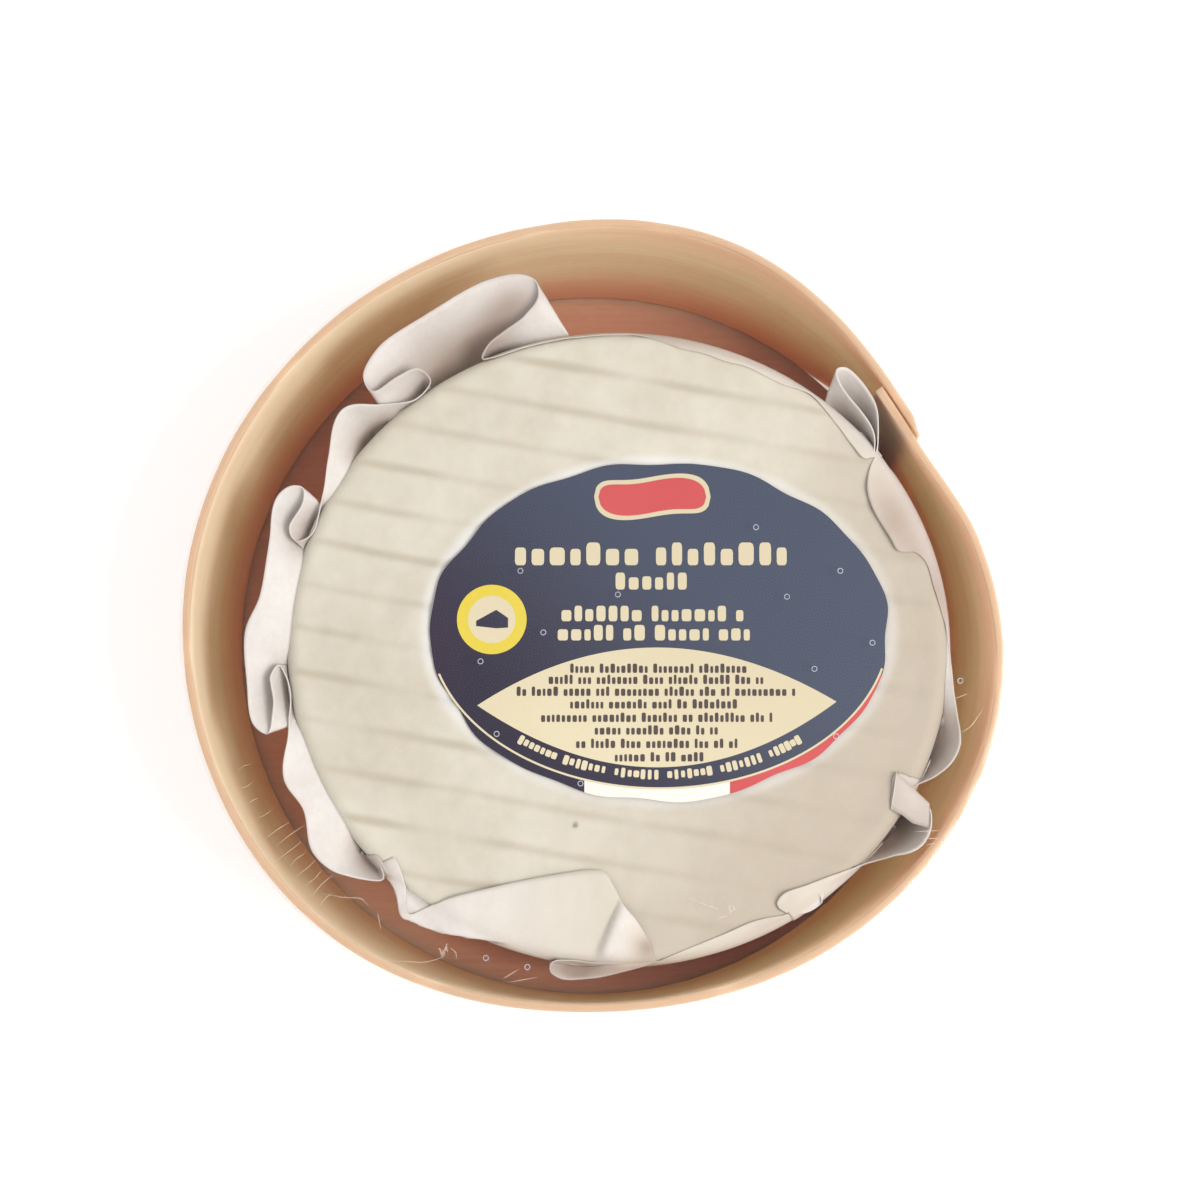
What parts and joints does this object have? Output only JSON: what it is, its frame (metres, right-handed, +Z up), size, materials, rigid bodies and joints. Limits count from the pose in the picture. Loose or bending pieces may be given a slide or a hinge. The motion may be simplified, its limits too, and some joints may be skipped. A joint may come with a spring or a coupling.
{
  "type": "boxed soft cheese wheel",
  "caption": "Small round soft-ripened cheese in a paper case, packed in a round bent-veneer box with an oval label and sealed in clear film.",
  "frame": {"origin": "middle of the pack's footprint, on the surface it stands on", "axes": "+Z up through the cheese; -Y is the near side of the picture, and +X its right"},
  "size_m": [0.1114, 0.1096, 0.0421],
  "materials": {
    "veneer": "raw peeled poplar veneer, light tan, faint grain",
    "waxed_paper": "white waxed paper, thin and slightly see-through",
    "rind": "cream white bloomy rind, soft and dry",
    "printed_paper": "dark blue print with a cream panel, satin",
    "film": "clear shrink film with small round perforations"
  },
  "bodies": {
    "root": {"box_base": "veneer", "box_wall": "veneer", "paper_case": "waxed_paper", "cheese_wheel": "rind", "top_label": "printed_paper", "clear_film": "film"}
  },
  "joints": []
}
